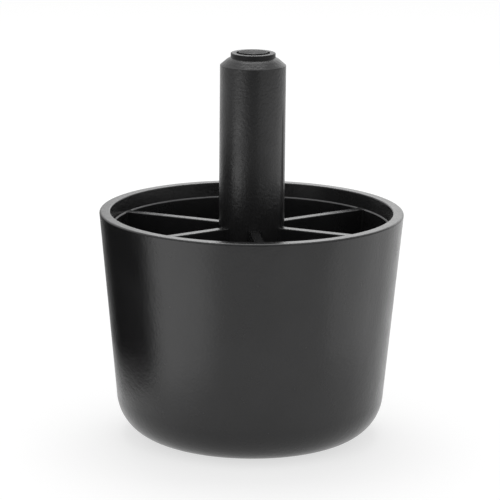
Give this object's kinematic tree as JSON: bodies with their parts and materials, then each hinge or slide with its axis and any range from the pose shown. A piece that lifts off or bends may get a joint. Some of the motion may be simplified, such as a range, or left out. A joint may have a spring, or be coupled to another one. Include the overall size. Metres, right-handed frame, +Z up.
{
  "type": "sofa foot",
  "caption": "Round tapered plastic sofa foot: an open cup stiffened by radial ribs, with a central push-in stem.",
  "frame": {"origin": "centre of the flat sole, on the floor", "axes": "+Z up along the stem; one rib lies along -Y, and the stem's flute is above the next rib towards +X"},
  "size_m": [0.0928, 0.0928, 0.119],
  "materials": {
    "black_plastic": "satin black, fine even moulded grain"
  },
  "bodies": {
    "root": {"moulded_foot": "black_plastic"}
  },
  "joints": []
}
